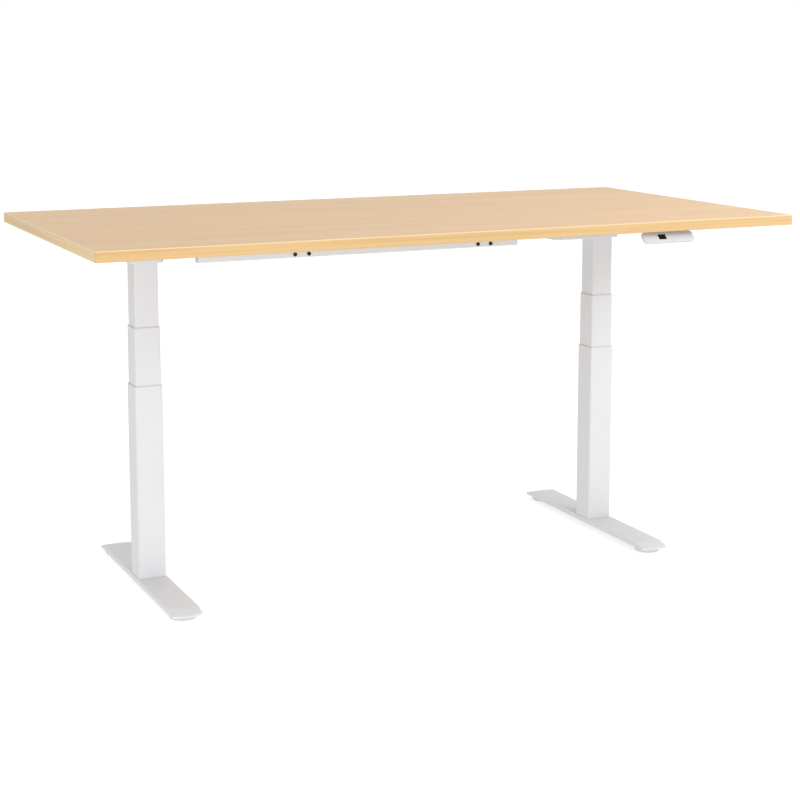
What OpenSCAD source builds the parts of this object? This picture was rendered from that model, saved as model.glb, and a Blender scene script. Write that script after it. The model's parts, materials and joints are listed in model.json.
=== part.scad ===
// Height adjustable standing desk with two three-stage lifting columns.
// Origin: on the floor, under the centre of the desktop. +X runs to the user's
// right along the long side, +Y to the back and +Z up. Lengths are in millimetres.
// The model stands at its resting height, part way up its travel.

/* [Desktop] */
// Width of the desktop, left to right
top_w = 1800; // [1600:10:2000]
// Depth of the desktop, front to back
top_d = 900; // [880:10:1000]
// Thickness of the desktop
top_t = 25; // [22:1:28]
// Thickness of the edge banding
band_t = 2; // [1:0.5:3]

/* [Height] */
// Height of the desktop's upper surface at rest
desk_h = 910; // [908:1:940]
// Top of the lower column tube
lower_top = 508; // [500:1:512]
// Top of the middle column tube at rest
middle_top = 653; // [650:1:660]
// How far each of the two moving stages can rise from rest
stage_up = 180; // [100:5:180]
// How far each of the two moving stages can sink from rest
stage_down = 140; // [80:5:140]

/* [Columns] */
// Distance between the two column centres
leg_span = 1290; // [1200:10:1400]
// How far the columns stand behind the middle of the desktop
leg_y = 75; // [60:5:80]
// Width of the square lower tube
lower_w = 70; // [68:0.5:72]
// Wall of the column tubes
tube_wall = 1.8; // [1.5:0.1:2]
// Gap between one tube and the next, filled by the plastic guide
stage_gap = 0.7; // [0.6:0.1:1]
// Outer corner radius of the column tubes
tube_r = 5; // [3:0.5:6]
// Length of the plastic guides in the tube mouths
guide_h = 40; // [30:1:50]

/* [Feet] */
// Width of a foot
foot_w = 74; // [72:1:80]
// Length of a foot's level top
foot_flat = 570; // [540:10:640]
// Length of the sloping nose at each end of a foot
nose_l = 38; // [30:1:45]
// How far the nose's front edge bulges
nose_bulge = 7; // [4:1:10]
// Height of a foot's top above the floor
foot_top = 24; // [22:1:26]
// Diameter of a levelling glide
glide_d = 64; // [50:1:66]
// Thickness of a levelling glide
glide_h = 10; // [8:0.5:10]

/* [Frame under the desktop] */
// Height of the flat support arms that carry the desktop
arm_h = 16; // [14:1:18]
// Width of the support arms
arm_w = 60; // [56:1:64]
// Length of the support arms, front to back
arm_l = 580; // [560:10:600]
// Depth of the head housings, front to back
head_d = 92; // [90:1:94]
// Height of the head housings
head_h = 56; // [55:1:58]
// How far the motor housing reaches in towards the middle
motor_reach = 157; // [156:1:180]
// Left end of the rail sleeves
sleeve_left = -527; // [-540:1:-500]
// Right end of the rail sleeves
sleeve_right = 355; // [340:1:380]
// Distance from the middle to each pair of clamp screws
clamp_x = 256; // [240:1:280]

/* [Handset] */
// Width of the handset
handset_w = 146; // [142:1:160]
// Centre of the handset along the front edge
handset_x = 536; // [500:1:600]

/* [Hidden] */

LEFT = -1;
RIGHT = 1;
FRONT = -1;
REAR = 1;
$fn = 48;
// Overlap that makes a cut pass cleanly through a face.
eps = 1;

// Clearances
fit_gap = 0.05;      // radial running clearance of shafts and tapped holes
press_gap = 0.1;     // gap between a part and the tube that holds it
slide_gap = 0.1;     // gap between a guide and the tube sliding in it

// Levels
under = desk_h - top_t;                 // underside of the desktop
arm_z = under - arm_h;                  // underside of the support arms
head_z = arm_z - head_h;                // underside of the head housings
wall = 2;                               // sheet metal of arms, rails and housings
plate_t = 4;                            // thicker steel plates

// Columns
leg_x = leg_span / 2;
middle_w = lower_w - 2 * (tube_wall + stage_gap);
upper_w = middle_w - 2 * (tube_wall + stage_gap);
bore_w = upper_w - 2 * tube_wall;       // clear width inside the upper tube
lip_t = 1.5;                            // plastic rim that shows on a tube mouth
lip_inset = 0.5;                        // how far that rim stays inside the tube's outline
corner_steps = 5;                       // straight facets in a rounded corner

// Lifting gear inside a column, from the floor up
base_plate_top = foot_top + 8;
middle_z = base_plate_top + stage_down + 18;
upper_z = middle_z + stage_down + 30;
screw_r = 7;                            // fixed lead screw, thread crest
nut_tube_r = 10;                        // rotating nut tube, thread crest
flange_r = 16;                          // bearing flange of the nut tube
flange_low = 8;                         // its two faces, above the foot of the middle tube
flange_high = 14;
bearing_h = 22;
key_r = 12;                             // six-sided key on the nut tube, across corners
key_h = 15;
key_play = 0.15;
drive_r = 15;                           // drive tube, outside
screw_top = middle_z + stage_up + 50;
nut_tube_top = upper_z + stage_up + 60;
drive_z = upper_z + 32;
journal_r = 10;
journal_h = 32;

// Gearboxes, motor and cross shaft, measured from the column centre
gearbox_w = 68;
gearbox_front = -34;
gearbox_back = 42;
shaft_y = 32;
shaft_z = head_z + 30;
shaft_r = 6;
hex_r = 5.6;                            // cross shaft, across corners
shaft_in = gearbox_w - 8;               // length of its journal inside a gearbox
motor_y = -12;
motor_r = 22;
motor_l = 112;
motor_tail_r = 10;
head_short = 42;                        // housing reach on the outer side of a column
head_r = 12;

// Rails
rail_w = 22;
rail_plate_t = 5;                       // bolting plate between a rail and a support arm
rail_plate_reach = 16;                  // how far that plate reaches past the rail
sleeve_z = head_z - 2;
rail_play = 0.3;
rail_front = 0;                         // front face of the front sleeve
rail_bottom = sleeve_z + wall + rail_play + 2;
rail_top = arm_z - rail_plate_t;
sleeve_top = rail_top + 1;              // inner face of the sleeve's top
notch_h = 12;                           // step up where a rail leaves the sleeve
notch_in = 3;                           // how far inside the sleeve that step starts
rail_inner_end = 200;
clamp_pitch = 37;
clamp_z = sleeve_z + 8.5;
clamp_head_r = 5;
clamp_head_h = 4;

// Screws
m6_r = 2.95;
m6_hole = m6_r + fit_gap;
m6_clear = 3.3;
m6_head_r = 5;
m6_head_h = 5;
m8_r = 3.95;
m8_hole = m8_r + fit_gap;
wood_r = 2.4;
wood_hole = wood_r + fit_gap;
wood_clear = 2.7;
wood_head_r = 4.5;
wood_head_h = 2.6;
wood_depth = 18;
access_r = 6.5;
arm_screw_y = [-265, -150, 150, 265];
gearbox_bolt_x = 20;
gearbox_bolt_y = 23;
gearbox_bolt_l = 14;
rail_bolt_x = 18;
rail_bolt_y = -8;
rail_bolt_l = 11;
foot_bolt = 21;

// Feet
foot_z = glide_h + 1;
foot_wall = 3;
nose_lip = 4;
glide_y = foot_flat / 2 - 7;
stud_r = 5;
stud_top = foot_top - 3;

// Control box, behind the rear rail
box_w = 240;
box_d = 100;
box_h = 34;
box_y = 240;
box_flange = 18;
box_screw_x = box_w / 2 + box_flange / 2;
box_screw_y = 36;
// Sockets on the box's back: mains inlet, motor lead, handset lead
socket_x = [-80, 0, 60];
socket_w = [28, 20, 12];
socket_h = [20, 12, 8];
socket_z = under - 22;
socket_wall = 1.5;
socket_l = 15;
board_t = 1.6;
board_margin = 12;
board_z = under - box_h + 4;            // underside of the control board
board_y = [8, box_d - 16];              // its front and rear edges, from the box's front
board_post_r = 3;

// Handset: a sloping bezel under the front edge, closed by a housing that narrows
// to a mounting tongue. Places in its profile are [Y, Z].
handset_front = 1 - top_d / 2;
handset_left = handset_x - handset_w / 2;
face_low = [handset_front, under - 25];
face_top = [handset_front + 21, under - 2];
face_angle = atan2(face_top[1] - face_low[1], face_top[0] - face_low[0]);
face_l = norm(face_top - face_low);
face_r = 9;
bezel_t = 6;
bezel_wall = 2.5;
bezel_rim = 6;
// From the bezel's face to its back
bezel_step = bezel_t * [sin(face_angle), -cos(face_angle)];
closing_t = 1.5;
closing_inset = 1.5;
body_inset = 9;
taper_d = 60;
tongue_w = 52;
tongue_t = 8;
tongue_r = 6;
handset_d = 90;
lead_w = 48;
handset_screw_x = 16;
handset_screw_y = handset_front + handset_d - 14;
window_w = 22;
window_h = 15;
window_x = 44;
film_w = 54;
film_h = 16;
film_x = 85;
inlay_t = 1.2;
inlay_play = 0.1;

// ---------- shapes that repeat ----------

function corner(cx, cy, r, start) = [
    for (i = [0 : corner_steps])
        let (a = start + 90 * i / corner_steps) [cx + r * cos(a), cy + r * sin(a)]
];

function round_rect(w, d, r) = concat(
    corner(w / 2 - r, d / 2 - r, r, 0),
    corner(-w / 2 + r, d / 2 - r, r, 90),
    corner(-w / 2 + r, -d / 2 + r, r, 180),
    corner(w / 2 - r, -d / 2 + r, r, 270)
);

// Square tube standing from z0 to z1
module square_tube(w, t, r, z0, z1) {
    translate([0, 0, z0])
        linear_extrude(z1 - z0)
            difference() {
                polygon(round_rect(w, w, r));
                polygon(round_rect(w - 2 * t, w - 2 * t, max(r - t, 0.6)));
            }
}

// Upright cylinder from z0 to z1
module post(r, z0, z1) {
    translate([0, 0, z0])
        cylinder(r = r, h = z1 - z0);
}

// Box given by its lowest and highest corners
module block(low, high) {
    translate(low)
        cube(high - low);
}

module at_leg(side) {
    translate([side * leg_x, leg_y, 0])
        children();
}

// Copies a front piece to the rear side of the columns
module rail_side(side) {
    translate([0, leg_y, 0])
        mirror([0, side == REAR ? 1 : 0, 0])
            translate([0, -leg_y, 0])
                children();
}

// Copies a piece on the right to the left
module hand(side) {
    mirror([side == LEFT ? 1 : 0, 0, 0])
        children();
}

// Positions of every wood screw in the desktop's underside
module at_desktop_screws() {
    for (side = [LEFT, RIGHT])
        for (y = arm_screw_y)
            translate([side * leg_x, leg_y + y, 0])
                children();
    for (x = [-box_screw_x, box_screw_x])
        for (y = [-box_screw_y, box_screw_y])
            translate([x, box_y + y, 0])
                children();
    for (x = [-handset_screw_x, handset_screw_x])
        translate([handset_x + x, handset_screw_y, 0])
            children();
}

// ---------- desktop ----------

module desktop_panel() {
    color("burlywood")
        difference() {
            block([-top_w / 2 + band_t, -top_d / 2 + band_t, under],
                  [top_w / 2 - band_t, top_d / 2 - band_t, desk_h]);
            at_desktop_screws()
                post(wood_hole, under - eps, under + wood_depth + 1);
        }
}

module long_edge_band(side) {
    color("goldenrod")
        translate([0, side * (top_d - band_t) / 2, under + top_t / 2])
            cube([top_w, band_t, top_t], center = true);
}

module short_edge_band(side) {
    color("goldenrod")
        translate([side * (top_w - band_t) / 2, 0, under + top_t / 2])
            cube([band_t, top_d - 2 * band_t, top_t], center = true);
}

module front_edge_band() { long_edge_band(FRONT); }
module rear_edge_band() { long_edge_band(REAR); }
module left_edge_band() { short_edge_band(LEFT); }
module right_edge_band() { short_edge_band(RIGHT); }

// ---------- frame under the desktop ----------

module support_arm(side) {
    color("white")
        at_leg(side)
            difference() {
                block([-arm_w / 2, -arm_l / 2, arm_z], [arm_w / 2, arm_l / 2, under]);
                block([-arm_w / 2 + wall, -arm_l / 2 - eps, arm_z + wall],
                      [arm_w / 2 - wall, arm_l / 2 + eps, under - wall]);
                for (y = arm_screw_y)
                    translate([0, y, 0]) {
                        post(access_r, arm_z - eps, arm_z + wall + eps);
                        post(wood_clear, under - wall - eps, under + eps);
                    }
                for (x = [-gearbox_bolt_x, gearbox_bolt_x])
                    for (y = [-gearbox_bolt_y, gearbox_bolt_y])
                        translate([x, y, 0]) {
                            post(m6_clear, arm_z - eps, arm_z + wall + eps);
                            post(access_r, under - wall - eps, under + eps);
                        }
                for (x = [-rail_bolt_x, rail_bolt_x])
                    for (y = [rail_bolt_y - leg_y, leg_y - rail_bolt_y])
                        translate([x, y, 0])
                            post(m6_hole, arm_z - eps, arm_z + wall + eps);
            }
}

module left_support_arm() { support_arm(LEFT); }
module right_support_arm() { support_arm(RIGHT); }

// Screw holes along Y through the front wall of a rail
module at_clamp_screws(centres) {
    for (x = centres)
        for (dx = [-clamp_pitch / 2, clamp_pitch / 2])
            translate([x + dx, rail_front, clamp_z])
                rotate([-90, 0, 0])
                    children();
}

// Folded box whose ends are closed below the rails that slide out of it
module rail_sleeve(side) {
    color("whitesmoke")
        rail_side(side)
            difference() {
                block([sleeve_left, rail_front, sleeve_z],
                      [sleeve_right, rail_front + rail_w, sleeve_top + wall]);
                block([sleeve_left + wall, rail_front + wall, sleeve_z + wall],
                      [sleeve_right - wall, rail_front + rail_w - wall, sleeve_top]);
                block([sleeve_left - eps, rail_front + wall, rail_bottom + notch_h - rail_play],
                      [sleeve_right + eps, rail_front + rail_w - wall, sleeve_top]);
                at_clamp_screws([-clamp_x, clamp_x])
                    translate([0, 0, -eps])
                        cylinder(r = m6_clear, h = wall + 2 * eps);
            }
}

module front_rail_sleeve() { rail_sleeve(FRONT); }
module rear_rail_sleeve() { rail_sleeve(REAR); }

// A rail slides in the sleeve and is bolted under a support arm. It is drawn
// for the right-hand end; sleeve_end is where it leaves the sleeve.
module inner_rail(hand_side, side, sleeve_end) {
    rail_y = rail_front + wall + rail_play;
    rail_d = rail_w - 2 * (wall + rail_play);
    outer_end = leg_x + arm_w / 2;
    color("white")
        hand(hand_side)
            rail_side(side)
                difference() {
                    union() {
                        block([rail_inner_end, rail_y, rail_bottom], [outer_end, rail_y + rail_d, rail_top]);
                        block([leg_x - arm_w / 2, rail_front - rail_plate_reach, rail_top],
                              [outer_end, rail_front + rail_w, arm_z]);
                    }
                    block([rail_inner_end - eps, rail_y + wall, rail_bottom + wall],
                          [outer_end + eps, rail_y + rail_d - wall, rail_top - wall]);
                    block([sleeve_end - notch_in, rail_y - eps, rail_bottom - eps],
                          [outer_end + eps, rail_y + rail_d + eps, rail_bottom + notch_h]);
                    at_clamp_screws([clamp_x])
                        translate([0, 0, wall])
                            cylinder(r = m6_hole, h = 2 * wall);
                    for (x = [-rail_bolt_x, rail_bolt_x])
                        translate([leg_x + x, rail_bolt_y, 0])
                            post(m6_clear, rail_top - eps, arm_z + eps);
                }
}

module left_front_rail() { inner_rail(LEFT, FRONT, -sleeve_left); }
module right_front_rail() { inner_rail(RIGHT, FRONT, sleeve_right); }
module left_rear_rail() { inner_rail(LEFT, REAR, -sleeve_left); }
module right_rear_rail() { inner_rail(RIGHT, REAR, sleeve_right); }

// Socket screw along +Z: the head's underside is at z = 0 and the shank points up.
module socket_screw(r, shank, head_r, head_h) {
    difference() {
        union() {
            post(r, -0.5, shank);
            post(head_r, -head_h, 0);
        }
        translate([0, 0, -head_h - eps])
            cylinder(r = 0.55 * head_r, h = 0.5 * head_h + eps, $fn = 6);
    }
}

module rail_clamp_screws() {
    color("black")
        for (side = [FRONT, REAR])
            rail_side(side)
                at_clamp_screws([-clamp_x, clamp_x])
                    socket_screw(m6_r, 3 * wall, clamp_head_r, clamp_head_h);
}

module frame_bolts() {
    color("silver")
        for (side = [LEFT, RIGHT])
            at_leg(side) {
                for (x = [-gearbox_bolt_x, gearbox_bolt_x])
                    for (y = [-gearbox_bolt_y, gearbox_bolt_y])
                        translate([x, y, arm_z + wall])
                            mirror([0, 0, 1])
                                socket_screw(m6_r, gearbox_bolt_l, m6_head_r, m6_head_h);
                for (x = [-rail_bolt_x, rail_bolt_x])
                    for (y = [rail_bolt_y - leg_y, leg_y - rail_bolt_y])
                        translate([x, y, rail_top])
                            socket_screw(m6_r, rail_bolt_l, m6_head_r, m6_head_h);
            }
}

module desktop_screws() {
    color("silver")
        at_desktop_screws() {
            post(wood_r, under - wall - 0.5, under + wood_depth);
            post(wood_head_r, under - wall - wood_head_h, under - wall);
        }
}

// ---------- column heads ----------

function head_in(side) = side == RIGHT ? motor_reach : head_short;

// Plan of a head in its own frame, with +X pointing out from the desk's middle
module head_plan(side, inset) {
    reach_in = head_in(side);
    translate([(head_short - reach_in) / 2, 0])
        polygon(round_rect(head_short + reach_in - 2 * inset, head_d - 2 * inset, head_r - inset));
}

module at_head(side) {
    at_leg(side)
        hand(side)
            children();
}

module head_housing(side) {
    floor_z = head_z + wall;
    color("white")
        at_head(side)
            difference() {
                translate([0, 0, head_z])
                    linear_extrude(head_h - wall)
                        head_plan(side, 0);
                translate([0, 0, floor_z])
                    linear_extrude(head_h)
                        head_plan(side, wall);
                translate([0, 0, head_z - eps])
                    linear_extrude(wall + 2 * eps)
                        polygon(round_rect(upper_w + 2 * press_gap, upper_w + 2 * press_gap, tube_r - 2));
                // The cross shaft leaves through the inner end wall.
                translate([-head_in(side) - eps, shaft_y, shaft_z])
                    rotate([0, 90, 0])
                        cylinder(r = shaft_r + 2, h = wall + 2 * eps);
            }
}

module head_lid(side) {
    color("white")
        at_head(side)
            translate([0, 0, arm_z - wall])
                difference() {
                    linear_extrude(wall)
                        head_plan(side, 0);
                    for (x = [-gearbox_bolt_x, gearbox_bolt_x])
                        for (y = [-gearbox_bolt_y, gearbox_bolt_y])
                            translate([x, y, 0])
                                post(m6_clear, -eps, wall + eps);
                }
}

module gearbox(side) {
    color("gray")
        at_head(side)
            difference() {
                block([-gearbox_w / 2, gearbox_front, head_z + wall],
                      [gearbox_w / 2, gearbox_back, arm_z - wall]);
                post(journal_r + fit_gap, head_z + wall - eps, head_z + journal_h);
                translate([-gearbox_w / 2 - eps, shaft_y, shaft_z])
                    rotate([0, 90, 0])
                        cylinder(r = shaft_r + fit_gap, h = shaft_in + 2);
                for (x = [-gearbox_bolt_x, gearbox_bolt_x])
                    for (y = [-gearbox_bolt_y, gearbox_bolt_y])
                        translate([x, y, 0])
                            post(m6_hole, arm_z - gearbox_bolt_l, arm_z);
            }
}

module left_head_housing() { head_housing(LEFT); }
module right_head_housing() { head_housing(RIGHT); }
module left_head_lid() { head_lid(LEFT); }
module right_head_lid() { head_lid(RIGHT); }
module left_gearbox() { gearbox(LEFT); }
module right_gearbox() { gearbox(RIGHT); }

module lift_motor() {
    color("dimgray")
        translate([leg_x - gearbox_w / 2, leg_y + motor_y, shaft_z - 2])
            rotate([0, -90, 0]) {
                post(motor_r, 0, motor_l);
                post(motor_tail_r, motor_l - 1, motor_l + 6);
            }
}

// Six-sided bar with a round journal in each gearbox
module drive_shaft() {
    inner_face = leg_x - gearbox_w / 2;
    color("silver")
        translate([0, leg_y + shaft_y, shaft_z])
            rotate([0, 90, 0]) {
                post(shaft_r, -inner_face - shaft_in, -inner_face + 12);
                translate([0, 0, -inner_face])
                    cylinder(r = hex_r, h = 2 * inner_face, $fn = 6);
                post(shaft_r, inner_face - 12, inner_face + shaft_in);
            }
}

// ---------- lifting columns ----------

module upper_tube(side) {
    color("white")
        at_leg(side)
            square_tube(upper_w, tube_wall, tube_r - 2, upper_z, head_z + wall);
}

module middle_tube(side) {
    color("white")
        at_leg(side)
            square_tube(middle_w, tube_wall, tube_r - 1, middle_z, middle_top);
}

module lower_tube(side) {
    color("white")
        at_leg(side)
            difference() {
                union() {
                    square_tube(lower_w, tube_wall, tube_r, foot_top, lower_top);
                    block([-lower_w / 2 + tube_wall, -lower_w / 2 + tube_wall, foot_top],
                          [lower_w / 2 - tube_wall, lower_w / 2 - tube_wall, base_plate_top]);
                }
                for (x = [-foot_bolt, foot_bolt])
                    for (y = [-foot_bolt, foot_bolt])
                        translate([x, y, 0])
                            post(m8_hole, foot_top - eps, base_plate_top + eps);
            }
}

module left_upper_tube() { upper_tube(LEFT); }
module right_upper_tube() { upper_tube(RIGHT); }
module left_middle_tube() { middle_tube(LEFT); }
module right_middle_tube() { middle_tube(RIGHT); }
module left_lower_tube() { lower_tube(LEFT); }
module right_lower_tube() { lower_tube(RIGHT); }

// Plastic guide in the mouth of a tube, with a rim that shows on top
module guide(side, outer_w, inner_w, outer_r, mouth) {
    sleeve_w = outer_w - 2 * (tube_wall + fit_gap);
    hole_w = inner_w + 2 * slide_gap;
    rim_w = outer_w - 2 * lip_inset;
    color("lightgray")
        at_leg(side) {
            square_tube(sleeve_w, (sleeve_w - hole_w) / 2, outer_r - tube_wall,
                        mouth - guide_h, mouth + lip_t);
            square_tube(rim_w, (rim_w - hole_w) / 2, outer_r - lip_inset, mouth, mouth + lip_t);
        }
}

module lower_guide(side) { guide(side, lower_w, middle_w, tube_r, lower_top); }
module middle_guide(side) { guide(side, middle_w, upper_w, tube_r - 1, middle_top); }

module left_lower_guide() { lower_guide(LEFT); }
module right_lower_guide() { lower_guide(RIGHT); }
module left_middle_guide() { middle_guide(LEFT); }
module right_middle_guide() { middle_guide(RIGHT); }

// ---------- lifting gear ----------

// Fixed screw that stands on the lower tube's base plate
module lead_screw(side) {
    color("silver")
        at_leg(side)
            post(screw_r, base_plate_top, screw_top);
}

// Block in the foot of the middle tube that holds the nut tube's flange
module nut_bearing(side) {
    block_w = middle_w - 2 * (tube_wall + press_gap);
    color("gray")
        at_leg(side)
            translate([0, 0, middle_z])
                difference() {
                    linear_extrude(bearing_h)
                        polygon(round_rect(block_w, block_w, tube_r - 2));
                    post(nut_tube_r + fit_gap, -eps, bearing_h + eps);
                    post(flange_r + fit_gap, flange_low - fit_gap, flange_high + fit_gap);
                }
}

// Turns on the lead screw, and drives the nut of the upper tube with its outer thread
module nut_tube(side) {
    color("silver")
        at_leg(side)
            difference() {
                union() {
                    post(nut_tube_r, middle_z + 2, nut_tube_top);
                    post(flange_r, middle_z + flange_low, middle_z + flange_high);
                    translate([0, 0, nut_tube_top - key_h])
                        cylinder(r = key_r, h = key_h, $fn = 6);
                }
                post(screw_r + fit_gap, middle_z, nut_tube_top + eps);
            }
}

// Nut in the foot of the upper tube
module lift_nut(side) {
    nut_w = bore_w - 2 * press_gap;
    color("peru")
        at_leg(side)
            translate([0, 0, upper_z + 2])
                difference() {
                    linear_extrude(bearing_h)
                        polygon(round_rect(nut_w, nut_w, 1));
                    post(nut_tube_r + fit_gap, -eps, bearing_h + eps);
                }
}

// Hangs from the gearbox and turns the nut tube through its six-sided bore
module drive_tube(side) {
    color("silver")
        at_leg(side)
            difference() {
                union() {
                    post(drive_r, drive_z, head_z - 4);
                    post(journal_r, head_z - 5, head_z + journal_h - 2);
                }
                translate([0, 0, drive_z - eps])
                    cylinder(r = key_r + key_play, h = head_z - drive_z - 12, $fn = 6);
            }
}

module left_lead_screw() { lead_screw(LEFT); }
module right_lead_screw() { lead_screw(RIGHT); }
module left_nut_bearing() { nut_bearing(LEFT); }
module right_nut_bearing() { nut_bearing(RIGHT); }
module left_nut_tube() { nut_tube(LEFT); }
module right_nut_tube() { nut_tube(RIGHT); }
module left_lift_nut() { lift_nut(LEFT); }
module right_lift_nut() { lift_nut(RIGHT); }
module left_drive_tube() { drive_tube(LEFT); }
module right_drive_tube() { drive_tube(RIGHT); }

// ---------- feet ----------

// Bulging edge of a nose, from one side of the foot to the other
function nose_edge(dir) = [
    for (i = [-6 : 6])
        let (t = i / 6) [-dir * t * foot_w / 2, dir * (foot_flat / 2 + nose_l - nose_bulge * t * t)]
];

module foot_plan() {
    polygon(concat(nose_edge(1), nose_edge(-1)));
}

// Side view of a foot, drawn in Y and Z
module foot_profile() {
    tip = foot_flat / 2 + nose_l;
    polygon([
        [-tip, foot_z], [-tip, foot_z + nose_lip], [-foot_flat / 2, foot_top],
        [foot_flat / 2, foot_top], [tip, foot_z + nose_lip], [tip, foot_z]
    ]);
}

module foot(side) {
    hollow_l = foot_flat / 2 - 60;
    color("white")
        at_leg(side)
            difference() {
                intersection() {
                    translate([0, 0, foot_z])
                        linear_extrude(foot_top - foot_z)
                            foot_plan();
                    rotate([90, 0, 90])
                        translate([0, 0, -foot_w / 2])
                            linear_extrude(foot_w)
                                foot_profile();
                }
                block([-foot_w / 2 + foot_wall, -hollow_l, foot_z - eps],
                      [foot_w / 2 - foot_wall, hollow_l, foot_top - plate_t]);
                for (y = [-glide_y, glide_y])
                    translate([0, y, 0])
                        post(stud_r + fit_gap, foot_z - eps, stud_top + 1);
                for (x = [-foot_bolt, foot_bolt])
                    for (y = [-foot_bolt, foot_bolt])
                        translate([x, y, 0])
                            post(m8_r + 0.4, foot_z, foot_top + eps);
            }
}

module left_foot() { foot(LEFT); }
module right_foot() { foot(RIGHT); }

module foot_bolts() {
    color("silver")
        for (side = [LEFT, RIGHT])
            at_leg(side)
                for (x = [-foot_bolt, foot_bolt])
                    for (y = [-foot_bolt, foot_bolt])
                        translate([x, y, foot_top - plate_t])
                            socket_screw(m8_r, plate_t + 7, 6.5, 6);
}

// Round foot with a threaded stud that screws up into the foot
module glide(side, end) {
    color("white")
        at_leg(side)
            translate([0, end * glide_y, 0]) {
                post(glide_d / 2, 0, glide_h);
                post(stud_r, glide_h - eps, stud_top);
            }
}

module left_front_glide() { glide(LEFT, FRONT); }
module left_rear_glide() { glide(LEFT, REAR); }
module right_front_glide() { glide(RIGHT, FRONT); }
module right_rear_glide() { glide(RIGHT, REAR); }

// ---------- control box ----------

module control_box_plate() {
    color("black")
        translate([0, box_y, under - wall])
            difference() {
                translate([-box_w / 2 - box_flange, -box_d / 2, 0])
                    cube([box_w + 2 * box_flange, box_d, wall]);
                for (x = [-box_screw_x, box_screw_x])
                    for (y = [-box_screw_y, box_screw_y])
                        translate([x, y, 0])
                            post(wood_clear, -eps, wall + eps);
            }
}

module control_box_shell() {
    shell_z = under - wall - box_h;
    color("black")
        translate([0, box_y, shell_z]) {
            difference() {
                linear_extrude(box_h)
                    polygon(round_rect(box_w, box_d, 6));
                translate([0, 0, wall])
                    linear_extrude(box_h)
                        polygon(round_rect(box_w - 2 * wall, box_d - 2 * wall, 4));
                for (i = [0 : 2])
                    translate([socket_x[i], box_d / 2, socket_z - shell_z])
                        cube([socket_w[i] + 0.4, 4 * wall, socket_h[i] + 0.4], center = true);
            }
            // Posts that carry the circuit board
            for (x = [-1, 1])
                for (y = board_y - [-2, 2] * board_post_r)
                    translate([x * (box_w / 2 - board_margin - 2 * board_post_r), y - box_d / 2, 0])
                        post(board_post_r, wall / 2, board_z - shell_z);
        }
}

module control_board() {
    color("green")
        translate([0, box_y, board_z]) {
            translate([-box_w / 2 + board_margin, board_y[0] - box_d / 2, 0])
                cube([box_w - 2 * board_margin, board_y[1] - board_y[0], board_t]);
            // Transformer and three capacitors
            translate([-20, -20, board_t])
                cube([44, 34, 16]);
            for (x = [40, 62, 84])
                translate([x, -12, 0])
                    post(9, board_t / 2, 20);
        }
}

module control_sockets() {
    color("dimgray")
        for (i = [0 : 2])
            translate([socket_x[i], box_y + box_d / 2, socket_z])
                difference() {
                    translate([-socket_w[i] / 2, 1 - socket_l, -socket_h[i] / 2])
                        cube([socket_w[i], socket_l, socket_h[i]]);
                    translate([-socket_w[i] / 2 + socket_wall, -9, -socket_h[i] / 2 + socket_wall])
                        cube([socket_w[i] - 2 * socket_wall, socket_l, socket_h[i] - 2 * socket_wall]);
                }
}

// ---------- handset ----------

// Places a piece on the sloping face: x from the left end, y up the face from
// its lower edge and z out of the face.
module on_face(x, y, z) {
    translate([handset_left, face_low[0], face_low[1]])
        rotate([face_angle, 0, 0])
            translate([x, y, z])
                children();
}

// Rounded plate parallel to the face, from z0 to z1
module face_plate(inset, z0, z1) {
    on_face(handset_w / 2, face_l / 2, z0)
        linear_extrude(z1 - z0)
            polygon(round_rect(handset_w - 2 * inset, face_l - 2 * inset, face_r - inset));
}

// Block halfway up the face, from depth t to a height above the face
module inlay(x, w, h, t, above = 0) {
    on_face(x, (face_l - h) / 2, -t)
        cube([w, h, t + above]);
}

module handset_bezel() {
    color("white")
        difference() {
            face_plate(0, -bezel_t, 0);
            on_face(bezel_rim, bezel_rim / 2, -bezel_t - eps)
                cube([handset_w - 2 * bezel_rim, face_l - bezel_rim, bezel_t - bezel_wall + eps]);
            inlay(window_x, window_w, window_h, inlay_t, eps);
            inlay(window_x + 1, window_w - 2, window_h - 2, bezel_wall + eps);
            inlay(film_x, film_w, film_h, inlay_t / 2, eps);
        }
}

// Side view of the housing behind the bezel, drawn in Y and Z
module housing_profile() {
    tongue_low = under - tongue_t;
    polygon([
        face_low + bezel_step, [handset_front + taper_d, tongue_low], [handset_front + handset_d, tongue_low],
        [handset_front + handset_d, under], [face_top[0] + 12, under], face_top + bezel_step
    ]);
}

// Plan of the housing, which narrows towards the back
module housing_plan() {
    front_w = handset_w - 2 * body_inset;
    arc_x = tongue_w / 2 - tongue_r;
    arc_y = handset_d - tongue_r;
    translate([handset_x, handset_front])
        polygon(concat(
            [[-front_w / 2, 0], [front_w / 2, 0], [tongue_w / 2, taper_d]],
            corner(arc_x, arc_y, tongue_r, 0),
            corner(-arc_x, arc_y, tongue_r, 90),
            [[-tongue_w / 2, taper_d]]
        ));
}

module handset_housing() {
    color("white")
        difference() {
            union() {
                face_plate(closing_inset, -bezel_t - closing_t, -bezel_t);
                intersection() {
                    translate([handset_left, 0, 0])
                        rotate([90, 0, 90])
                            linear_extrude(handset_w)
                                housing_profile();
                    translate([0, 0, under - 2 * face_l])
                        linear_extrude(3 * face_l)
                            housing_plan();
                }
            }
            // Space for the lead, open to the circuit board
            block([handset_x - lead_w / 2, handset_front + 8, under - 14],
                  [handset_x + lead_w / 2, handset_front + 44, under - 4]);
            for (x = [-handset_screw_x, handset_screw_x])
                translate([handset_x + x, handset_screw_y, 0]) {
                    post(wood_clear, under - tongue_t - eps, under + eps);
                    post(access_r, under - tongue_t - eps, under - wall);
                }
        }
}

module handset_window() {
    color("black")
        inlay(window_x + inlay_play, window_w - 2 * inlay_play, window_h - 2 * inlay_play, inlay_t);
}

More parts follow.
